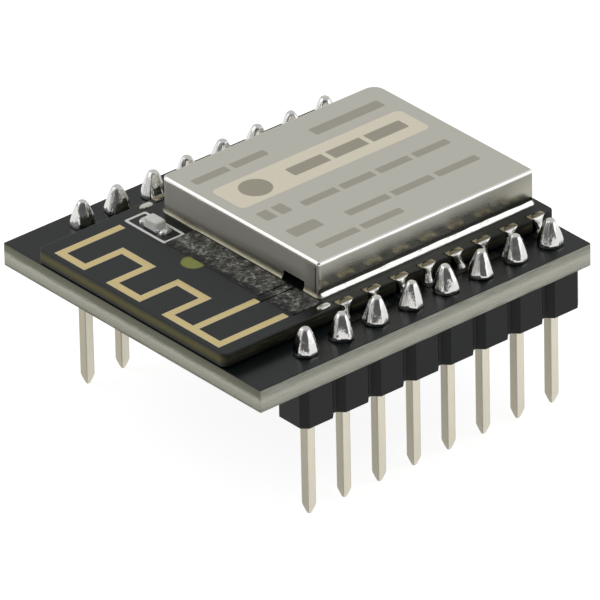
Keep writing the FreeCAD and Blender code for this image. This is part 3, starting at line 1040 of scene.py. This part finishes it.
def cone_rings(centre, base, top, chance):
    """Rings of one joint: radius r(h) times a soft polygon, (sum of (cos(t - t_k) / d_k)^p)^(-1/p)."""
    height, radius, flat = through(cone_stations, 5).T
    height = height / cone_stations[-1][0]
    radius = np.maximum(radius, 0.01) * (1 + 0.03 * chance.normal())
    turn = np.linspace(0, 2 * np.pi, cone_ring_size, endpoint=False)
    facing = 2 * np.pi * np.arange(cone_sides) / cone_sides + chance.normal(0, 0.12, cone_sides)
    distance = 1 + np.clip(chance.normal(0, 0.04, cone_sides), -0.03, 0.08)
    twist = chance.normal(0, 0.12) * (height - 0.3)[:, None, None]
    away = np.maximum(np.cos(turn[:, None] - facing - twist), 0.0)
    power = 26.0
    sided = ((away / distance) ** power).sum(-1) ** (-1 / power)
    share = np.clip(flat, 0, 1)[:, None]
    swell = sum(
        size * np.sin(waves * turn + climb * height[:, None] + chance.uniform(0, 2 * np.pi))
        for waves, climb, size in ((1, 3.0, 0.025), (3, 4.0, 0.015), (5, 5.0, 0.008))
    )
    reach = radius[:, None] * (share * sided + (1 - share) * 1.02) * (1 + share * swell)
    lean = chance.normal(0, 0.04, 2)
    tall = (top - base) * (0.97 - 0.06 * chance.random())
    bend = (height**1.5)[:, None]
    x = centre[0] + bend * lean[0] + reach * np.cos(turn)
    y = centre[1] + bend * lean[1] + reach * np.sin(turn)
    return spread(x, y, base + tall * height[:, None])


for row in rows:
    for number in range(1, pins_per_row + 1):
        node = f"pin_solder_{row}_{number}"
        low, high = limits(node)
        points, faces = tube_parts(cone_rings((low + high) / 2, carrier_top, high[2], chance))
        add_piece(f"cone_{row}_{number}", points, faces, solder, [node], 80.0)
print("cones:", 2 * pins_per_row, "each with", len(faces), "faces")

# %% [markdown]
# ## Edge solder
#
# The module is soldered by half holes along its edges. The solder wets the pad above, necks
# in as it passes the half hole, and spreads over the land below like the root of a tooth.
# Each ring is an oval with a deep front and a shallow back that stays inside the board.

# %% Build the edge solder
edge_ring_size = 40
edge_back = 0.3
edge_stations = [
    (0.0, 0.44, 0.02, 0.0), (0.02, 0.45, 0.06, 0.0), (0.1, 0.42, 0.11, 0.0), (0.28, 0.33, 0.15, 0.1),
    (0.5, 0.27, 0.19, 0.35), (0.75, 0.25, 0.27, 0.75), (0.92, 0.29, 0.37, 1.0), (1.0, 0.31, 0.41, 1.05),
]


def edge_rings(x, edge, side, low, high, chance):
    """Rings of one joint, from the pad down to the land: width, front depth and lean per station."""
    drop, width, front, lean = through(edge_stations, 5).T
    turn = np.linspace(0, 2 * np.pi, edge_ring_size, endpoint=False)
    width = width * (1 + 0.05 * chance.normal())
    front = front * (1 + 0.06 * chance.normal())
    sway = chance.choice([-1, 1]) * 0.15 + 0.06 * chance.normal()
    depth = np.where(np.sin(turn) > 0, front[:, None], edge_back)
    across = x + side * (width[:, None] * np.cos(turn) + (lean * sway)[:, None])
    return spread(across, edge + side * depth * np.sin(turn), (high + (low - high) * drop)[:, None])[::-1]


land_top = limits("carrier_lands")[1][2]
pad_top = limits("module_edge_pads")[1][2]
for row, side in zip(rows, (-1, 1)):
    node = "edge_solder_" + row
    edge = side * module_high[1]
    tubes = [edge_rings(x, edge, side, land_top, pad_top, chance) for x in contact_places]
    points, faces = joined(tubes)
    add_piece("edge_fillets_" + row, points, faces, edge_solder, [node], 50.0)
print("edge joints per side:", len(contact_places))

# %% [markdown]
# ## The shield can
#
# The can is one sheet, drawn round its two far corners and folded and slit at its two near
# ones. Its outside is a rounded rectangle carried up a profile: a straight wall and then a
# quarter-circle fold that draws the outline in. The slits and the notch for the feed line
# are left out by deleting the faces that lie in them, and a Solidify modifier gives the
# sheet its thickness, so the cuts show real depth. One more ring just inside the fold keeps
# the flat top from shading like a pillow.

# %% Build the can
sheet = 0.15
fold = 0.2
far_corner = 0.8
lamp_corner = 0.4
side_points = 6
arc_points = 7
can_half = (can_high[:2] - can_low[:2]) / 2
can_middle = (can_high[:2] + can_low[:2]) / 2
notch_half = 0.875
slit_far = can_half[1] - fold - 0.005
slit_wide = 0.08
slit_top = can_high[2] - can_low[2] - fold - sheet
far_end = can_half[1] - far_corner - 0.005
wall_stops = [
    -slit_far, slit_wide - slit_far, feed_y - notch_half, feed_y + notch_half, far_end - 0.5, far_end
]


def can_outline(inset):
    """Ring (x, y) round the can drawn in by `inset`: four sides of stops joined by corner arcs."""
    reach = can_half - inset
    corner_radii = (far_corner, lamp_corner, fold, fold)
    turn = np.linspace(0, np.pi / 2, arc_points)
    stops_y = np.array(wall_stops)
    stops_x = np.linspace(-1, 1, side_points) * (can_half[0] - far_corner - 0.1)
    sides = [
        np.c_[np.full(side_points, reach[0]), stops_y],
        np.c_[stops_x[::-1], np.full(side_points, reach[1])],
        np.c_[np.full(side_points, -reach[0]), stops_y[::-1]],
        np.c_[stops_x, np.full(side_points, -reach[1])],
    ]
    signs = ((1, 1), (-1, 1), (-1, -1), (1, -1))
    ring = []
    for quarter, (side, sign) in enumerate(zip(sides, signs)):
        angle = turn + quarter * np.pi / 2
        radius = max(corner_radii[quarter] - inset, 0.03)
        arc = np.array(sign) * (reach - radius) + radius * np.c_[np.cos(angle), np.sin(angle)]
        ring += [side, arc]
    return can_middle + np.concatenate(ring)


fold_turn = np.linspace(0, np.pi / 2, 9)
straight = can_high[2] - can_low[2] - fold
levels = [(z, 0.0) for z in (0.0, 0.55, 1.2, slit_top)]
levels += [(straight + fold * math.sin(angle), fold * (1 - math.cos(angle))) for angle in fold_turn]
levels += [(straight + fold, fold + 0.03)]
can_rings = stacked(can_outline, levels)
can_rings[..., 2] += can_low[2]
ring_size = can_rings.shape[1]
quads = ring_faces(len(levels), ring_size)
level_of, column_of = np.divmod(np.arange(len(quads)), ring_size)
left_start = 2 * (side_points + arc_points)
slits = np.isin(column_of, [0, left_start + 4]) & (level_of < 3)
notch = (column_of == left_start + 2) & (level_of < 1)
faces = quads[~(slits | notch)].tolist()
faces.append((np.arange(ring_size) + (len(levels) - 1) * ring_size).tolist())
can_points = can_rings.reshape(-1, 3)
can = add_piece("shield_sheet", can_points, faces, can_sheet, ["shield_can"], 60.0)
thickness = can.modifiers.new("sheet", "SOLIDIFY")
thickness.thickness = sheet * MM
thickness.offset = -1.0
thickness.use_even_offset = False
# The cut faces take the second slot, the near-black painted shade of the slits and seams.
thickness.material_offset_rim = 1
can.data.materials.append(seam_shade_sheet)
print("can faces:", len(faces), "removed for cuts:", int((slits | notch).sum()))

# %% [markdown]
# ## Solder at the can's foot
#
# The can is soldered to a track that runs all the way round it. Melted solder pulls itself
# into a hollow slope between the wall and the track. Here that slope is a section carried
# along the can's own outline, and slow noise makes it wider and taller in some places. It
# stops on both sides of the feed line's notch. Two small dabs lie beside the corners.

# %% Build the foot solder


def smooth_noise(length, wave, chance):
    """Random curve from -1 to 1 along a path: values every `wave`, joined by the station curve."""
    knots = max(4, int(length / wave))
    values = chance.uniform(-1, 1, (knots, 1))
    curve = through(values, 16)[:, 0]
    return lambda s: np.interp(s, np.linspace(0, length, len(curve)), curve)


def foot_rings(chance):
    """Rings of the slope round the can: section (w u, h (1 - u) to the power 1.25), u from 0 to 1."""
    outline = np.roll(can_outline(0.0), -(left_start + 3), axis=0)
    steps = np.linalg.norm(np.diff(outline, axis=0), axis=1)
    run = np.concatenate([[0], np.cumsum(steps)])
    s = np.arange(0, run[-1], 0.1)
    path = np.stack([np.interp(s, run, outline[:, axis]) for axis in (0, 1)], 1)
    tangent = np.gradient(path, axis=0)
    tangent /= np.linalg.norm(tangent, axis=1)[:, None]
    outward = np.stack([tangent[:, 1], -tangent[:, 0]], 1)
    slow, quick = smooth_noise(run[-1], 2.2, chance), smooth_noise(run[-1], 0.6, chance)
    end = np.clip(np.abs(outward[:, 0]) * 2 - 0.8, 0, 1)
    wide = 0.14 + 0.02 * slow(s) + 0.01 * quick(s) - 0.02 * end
    tall = 0.26 + 0.03 * slow(s) + 0.02 * quick(s)
    part = np.linspace(0, 1, 7)
    across = np.concatenate([[-0.02, -0.02], part])
    climb = np.concatenate([[0.0, 1.0], (1 - part) ** 1.25])
    across = np.where(across < 0, across, across * wide[:, None])
    rings = np.empty((len(s), len(climb), 3))
    rings[..., :2] = path[:, None] + outward[:, None] * across[..., None]
    rings[..., 2] = can_low[2] + 0.004 + climb * tall[:, None]
    return rings


def dab_rings(centre, half_x, half_y, tall):
    """Low dome on an oval: the radius follows cos and the height follows sin of one angle."""
    turn = np.linspace(0, np.pi / 2, 7)
    x, y = rounded_ring(half_x, half_y, 2.6, 32)
    shrink = np.maximum(np.cos(turn) ** 0.5, 0.05)[:, None]
    height = centre[2] + tall * np.sin(turn)[:, None]
    return spread(centre[0] + shrink * x, centre[1] + shrink * y, height)


dab_x = -4.5
dab_y = 7.575
dabs = [dab_rings((dab_x, side * dab_y, can_low[2]), 0.46, 0.22, 0.13) for side in (-1, 1)]
points, faces = joined([foot_rings(chance)] + dabs)
add_piece("can_foot_fillet", points, faces, foot_solder, ["can_solder"], 50.0)
print("foot fillet faces:", len(faces))

# %% [markdown]
# ## The small lamp
#
# A lamp of this size is a white base plate with a metal cap at each end and a milky block of
# resin between them. The resin's top is slightly crowned. Solder rises against both caps.

# %% Build the lamp
lamp_low, lamp_high = limits("status_led")
lamp_centre = (lamp_low + lamp_high) / 2
lamp_half = (lamp_high - lamp_low) / 2


def oval(centre, half, inset, power, size):
    """Superellipse round a centre, drawn in by `inset`."""
    x, y = rounded_ring(half[0] - inset, half[1] - inset, power, size)
    return spread(centre[0] + x, centre[1] + y)


def block_rings(centre, half, z0, z1, rim, power=8.0, draft=0.0, size=48):
    """Rounded block: rings of one superellipse, drawn in along a quarter circle at the top edge."""
    turn = np.linspace(0, np.pi / 2, 6)
    inset = np.concatenate([[0.0], draft + rim * (1 - np.cos(turn)), [draft + rim * 1.6]])
    height = np.concatenate([[z0], z1 - rim + rim * np.sin(turn), [z1 + 0.02 * rim]])
    return stacked(lambda pull: oval(centre, half, pull, power, size), list(zip(height, inset)))


lamp_floor = lamp_low[2]
base_top = lamp_floor + 0.22
base_half = lamp_half[:2] * [0.94, 0.98]
points, faces = tube_parts(block_rings(lamp_centre, base_half, lamp_floor, base_top, 0.02))
add_piece("lamp_base", points, faces, white_ink, ["status_led"], 30.0)
lens_half = (lamp_half[0] * 0.97, lamp_half[1] * 0.76)
points, faces = tube_parts(block_rings(lamp_centre, lens_half, base_top, lamp_high[2], 0.14, 6.0, 0.02))
add_piece("lamp_window", points, faces, lamp_resin, [], 60.0)
caps = []
mounds = []
cap_half = (lamp_half[0] * 0.98, lamp_half[1] * 0.17)
for side in (-1, 1):
    cap_centre = (lamp_centre[0], lamp_centre[1] + side * lamp_half[1] * 0.84)
    caps.append(block_rings(cap_centre, cap_half, lamp_floor, base_top + 0.03, 0.02))
    mound_y = lamp_centre[1] + side * (lamp_half[1] + 0.02)
    mounds.append(dab_rings((lamp_centre[0], mound_y, lamp_floor), 0.4, 0.3, 0.24))
points, faces = joined(caps + mounds)
add_piece("lamp_terminals", points, faces, solder, ["led_solder"], 50.0)
print("lamp pieces made round", lamp_centre.round(2))

# %% [markdown]
# ## Printed frame
#
# White ink marks where the lamp goes. Screen-printed ink stands a few hundredths of a
# millimetre proud, enough to catch an edge of light, so it is a real raised line here: a
# rectangle of ink whose small section is carried round a rounded outline. The last ring is
# joined back to the first, so the band is closed both ways and needs no lid.

# %% Build the printed frame
print_low = np.array([-6.48, 3.66])
print_high = np.array([-4.9, 7.16])
ink_width = 0.18
ink_height = 0.02
ink_slope = 0.02
ink_ring_size = 96

print_centre, print_half = (print_low + print_high) / 2, (print_high - print_low) / 2
ink_top = module_top + ink_height
levels = [
    (module_top, 0.0), (ink_top, ink_slope), (ink_top, ink_width - ink_slope), (module_top, ink_width)
]
loop = stacked(lambda inset: oval(print_centre, print_half, inset, 24.0, ink_ring_size), levels)
quads = ring_faces(len(levels), ink_ring_size).tolist()
index = np.arange(loop[..., 0].size).reshape(len(levels), ink_ring_size)
ahead = np.roll(index, -1, axis=1)
quads += np.stack([index[-1], ahead[-1], ahead[0], index[0]], -1).tolist()
add_piece("printed_frame", loop.reshape(-1, 3), quads, white_ink, [], 30.0)
print("printed frame faces:", len(quads))

# %% [markdown]
# ## Floor, light and camera
#
# The floor and the surroundings are plain and pale. To a camera ray the floor glows a little
# on top of what light falls on it, so it reads as white while the soft shadow stays. The
# floor lies a hair below the pins' tips, so that the two never share a plane.

# %% Floor
floor_size = 3000.0
floor_drop = 0.002


def floor_finish():
    """White paper floor: soft shading, plus a glow that only camera and mirror rays see."""
    paint = Paint("floor_finish", Roughness=0.9)
    paint.fill(paint.shader.inputs["Base Color"], seen(186, 186, 186))
    kinds = ("Is Camera Ray", "Is Glossy Ray", "Is Transmission Ray")
    camera_ray, mirrored, passed = (paint.node("ShaderNodeLightPath", pick=kind) for kind in kinds)
    glow = camera_ray * 0.85 + (mirrored + passed) * 0.58
    paint.fill(paint.shader.inputs["Emission Color"], (1.0, 1.0, 1.0))
    paint.fill(paint.shader.inputs["Emission Strength"], glow)
    return paint.material


corners = np.array([[-1, -1, 0], [1, -1, 0], [1, 1, 0], [-1, 1, 0]]) * floor_size / 2
floor_mesh = bpy.data.meshes.new("studio_floor")
floor_mesh.from_pydata(((corners - [0, 0, floor_drop]) * MM).tolist(), [], [(0, 1, 2, 3)])
floor_mesh.materials.append(floor_finish())
floor = bpy.data.objects.new("studio_floor", floor_mesh)
bpy.context.scene.collection.objects.link(floor)
print("floor", floor_size, "mm wide")

# %% [markdown]
# The surroundings are one soft shade all round, and go dim behind the camera. That dark side
# is what gives solder its dark streaks between bright ones. How far a direction lies towards
# the camera's back is the dot product of the two, and a smooth step turns it into brightness.
# Two large lamps add soft light from the camera's right and left.

# %% Surroundings and lamps
camera_place = np.array([-348.919, -417.779, 319.147])
camera_right = np.array([0.76022763, -0.64937974, -0.01897123])
camera_down = np.array([-0.3360578, -0.36809535, -0.86693193])
camera_forward = np.array([0.55598481, 0.66544103, -0.49806539])

world = bpy.data.worlds.new("studio_world")
bpy.context.scene.world = world
world.use_nodes = True
behind = -camera_forward * np.array([1, 1, 0]) / math.hypot(*camera_forward[:2])
sky = Formulas(world.node_tree)
direction = sky.node("ShaderNodeTexCoord", pick="Generated")
dot = {"operation": "DOT_PRODUCT"}
backwards = sky.node("ShaderNodeVectorMath", dot, {0: direction, 1: tuple(behind)}, pick="Value")
fade = {"Value": backwards, "From Min": 0.25, "From Max": 0.85, "To Min": 0.58, "To Max": 0.1}
smooth = {"interpolation_type": "SMOOTHSTEP"}
background = world.node_tree.nodes["Background"]
sky.fill(background.inputs["Strength"], sky.node("ShaderNodeMapRange", smooth, fade, pick="Result"))
sky.fill(background.inputs["Color"], (1.0, 1.0, 1.0))


def soft_lamp(name, direction, distance, width, height, radiance):
    """Area lamp facing the object; its power is radiance times pi times its area."""
    light = bpy.data.lights.new(name, "AREA")
    light.shape = "RECTANGLE"
    light.size = width * MM
    light.size_y = height * MM
    light.energy = radiance * math.pi * light.size * light.size_y
    lamp = bpy.data.objects.new(name, light)
    aim = np.array(direction, float)
    aim /= np.linalg.norm(aim)
    lamp.location = tuple((aim * distance + np.array([0, 0, 8.0])) * MM)
    lamp.rotation_euler = Vector(tuple(aim)).to_track_quat("Z", "Y").to_euler()
    bpy.context.scene.collection.objects.link(lamp)
    return lamp


soft_lamp("lamp_right", (0.60, -0.77, 0.24), 500, 620, 240, 0.8)
soft_lamp("lamp_left", (-0.62, 0.62, 0.60), 500, 500, 460, 0.65)

# %% [markdown]
# The camera stands where the photograph was taken from. Its axes were worked out from the
# corners of the board in the picture, so it's set by a matrix: right, up and backwards are
# its three columns.

# %% Camera
camera_data = bpy.data.cameras.new("photo_camera")
camera_data.sensor_width = 36.0
camera_data.lens = 678.86
camera_data.clip_start = 0.01
camera_data.clip_end = 50.0
camera = bpy.data.objects.new("photo_camera", camera_data)
matrix = np.eye(4)
matrix[:3, 0] = camera_right
matrix[:3, 1] = -camera_down
matrix[:3, 2] = -camera_forward
matrix[:3, 3] = camera_place * MM
camera.matrix_world = Matrix(matrix.tolist())
bpy.context.scene.collection.objects.link(camera)
bpy.context.scene.camera = camera
bpy.context.scene.view_settings.view_transform = "Standard"
print("camera distance", round(float(np.linalg.norm(camera_place)), 1), "mm")

# %% [markdown]
# The last cell brings the scene up to date.

# %% Finish
bpy.context.view_layer.update()
